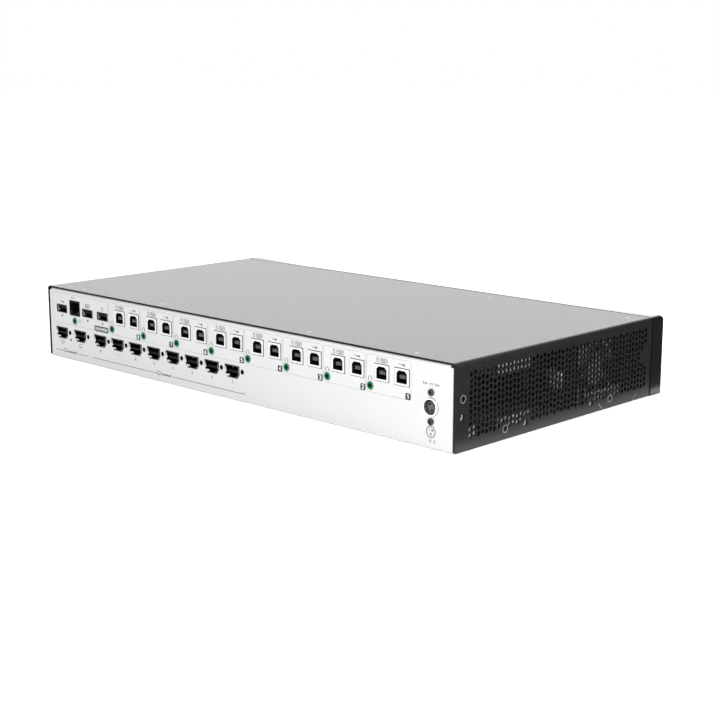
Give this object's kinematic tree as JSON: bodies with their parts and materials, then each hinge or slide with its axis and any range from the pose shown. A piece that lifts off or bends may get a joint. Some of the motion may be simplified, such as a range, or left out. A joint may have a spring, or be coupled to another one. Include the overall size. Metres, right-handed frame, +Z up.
{
  "type": "kvm switch",
  "caption": "Flat black steel desktop or rack case that switches keyboard, video, mouse and audio between computers, with a socket panel behind, side vents and front keys.",
  "frame": {"origin": "centre of the footprint on the surface that the case stands on", "axes": "+X along the case, +Y towards the socket panel, +Z up; the front keys face -Y"},
  "size_m": [0.421, 0.2256, 0.0562],
  "materials": {
    "tray_finish": "satin silver-white coat",
    "lid_coat": "semi-gloss black powder coat",
    "plated_steel": "zinc plated",
    "black_screw": "black oxide",
    "fascia_plastic": "gloss black",
    "lens_plastic": "frosted clear",
    "led_white": "white",
    "switch_plastic": "matte",
    "board_green": "solder mask",
    "ribbon_grey": "matte",
    "pillar_brass": "nickel plated brass",
    "chip_black": "matte",
    "header_white": "matte",
    "heat_sink_aluminium": "anodised",
    "can_aluminium": "satin",
    "tongue_grey": "matte",
    "tongue_black": "matte",
    "socket_black": "matte",
    "jack_green": "matte",
    "video_shell": "black nickel",
    "usb_nickel": "nickel plated",
    "inlet_nickel": "nickel plated",
    "pin_brass": "bright",
    "lead_black": "satin",
    "fan_black": "satin",
    "key_grey": "satin"
  },
  "bodies": {
    "case": {"base_tray": "tray_finish", "lid": "lid_coat", "lid_stiffener": "plated_steel", "lid_top_screws": "black_screw", "lid_side_screws": "black_screw", "clinch_nuts": "plated_steel", "front_fascia": "fascia_plastic", "fascia_screws": "plated_steel", "indicator_lenses": "lens_plastic", "indicator_leds": "led_white", "key_switches": "switch_plastic", "key_board": "board_green", "key_board_ribbon": "ribbon_grey", "lower_board": "board_green", "upper_board": "board_green", "lower_pillars": "pillar_brass", "upper_pillars": "pillar_brass", "board_screws": "plated_steel", "board_chips": "chip_black", "board_headers": "header_white", "heat_sinks": "heat_sink_aluminium", "capacitors": "can_aluminium", "usb_b_tongues": "tongue_grey", "usb_a_tongues": "tongue_black", "options_socket": "socket_black", "audio_jacks": "jack_green", "video_output_sockets": "video_shell", "video_input_sockets_1_4": "video_shell", "video_input_sockets_5_8": "video_shell", "video_tongues": "tongue_black", "video_lock_nuts": "plated_steel", "power_inlet_shell": "inlet_nickel", "power_inlet_insulator": "socket_black", "power_inlet_pins": "pin_brass", "inlet_screws": "black_screw", "power_leads": "lead_black", "fan_frame": "fan_black", "fan_bracket": "plated_steel", "fan_screws": "plated_steel", "usb_b_sockets_1": "usb_nickel", "usb_b_sockets_2": "usb_nickel", "usb_b_sockets_3": "usb_nickel", "usb_b_sockets_4": "usb_nickel", "usb_b_sockets_5": "usb_nickel", "usb_b_sockets_6": "usb_nickel", "usb_b_sockets_7": "usb_nickel", "usb_b_sockets_8": "usb_nickel", "usb_a_socket_1": "usb_nickel", "usb_a_socket_2": "usb_nickel", "usb_a_socket_3": "usb_nickel"},
    "fan_rotor": {"fan_rotor": "fan_black"},
    "options_key": {"options_key": "key_grey"},
    "channel_key_1": {"channel_key_1": "key_grey"},
    "channel_key_2": {"channel_key_2": "key_grey"},
    "channel_key_3": {"channel_key_3": "key_grey"},
    "channel_key_4": {"channel_key_4": "key_grey"},
    "channel_key_5": {"channel_key_5": "key_grey"},
    "channel_key_6": {"channel_key_6": "key_grey"},
    "channel_key_7": {"channel_key_7": "key_grey"},
    "channel_key_8": {"channel_key_8": "key_grey"}
  },
  "joints": [
    {"name": "channel_key_1_press", "type": "slide", "parent": "case", "child": "channel_key_1", "axis": [0, 1, 0], "range_m": [0, 0.0008], "stiffness_N_per_m": 400, "springref_m": -0.001},
    {"name": "channel_key_2_press", "type": "slide", "parent": "case", "child": "channel_key_2", "axis": [0, 1, 0], "range_m": [0, 0.0008], "stiffness_N_per_m": 400, "springref_m": -0.001},
    {"name": "channel_key_3_press", "type": "slide", "parent": "case", "child": "channel_key_3", "axis": [0, 1, 0], "range_m": [0, 0.0008], "stiffness_N_per_m": 400, "springref_m": -0.001},
    {"name": "channel_key_4_press", "type": "slide", "parent": "case", "child": "channel_key_4", "axis": [0, 1, 0], "range_m": [0, 0.0008], "stiffness_N_per_m": 400, "springref_m": -0.001},
    {"name": "channel_key_5_press", "type": "slide", "parent": "case", "child": "channel_key_5", "axis": [0, 1, 0], "range_m": [0, 0.0008], "stiffness_N_per_m": 400, "springref_m": -0.001},
    {"name": "channel_key_6_press", "type": "slide", "parent": "case", "child": "channel_key_6", "axis": [0, 1, 0], "range_m": [0, 0.0008], "stiffness_N_per_m": 400, "springref_m": -0.001},
    {"name": "channel_key_7_press", "type": "slide", "parent": "case", "child": "channel_key_7", "axis": [0, 1, 0], "range_m": [0, 0.0008], "stiffness_N_per_m": 400, "springref_m": -0.001},
    {"name": "channel_key_8_press", "type": "slide", "parent": "case", "child": "channel_key_8", "axis": [0, 1, 0], "range_m": [0, 0.0008], "stiffness_N_per_m": 400, "springref_m": -0.001},
    {"name": "options_key_press", "type": "slide", "parent": "case", "child": "options_key", "axis": [0, 1, 0], "range_m": [0, 0.0008], "stiffness_N_per_m": 400, "springref_m": -0.001},
    {"name": "fan_spin", "type": "hinge", "parent": "case", "child": "fan_rotor", "pos_m": [-0.2, -0.03825, 0.026], "axis": [1, 0, 0], "continuous": true}
  ]
}
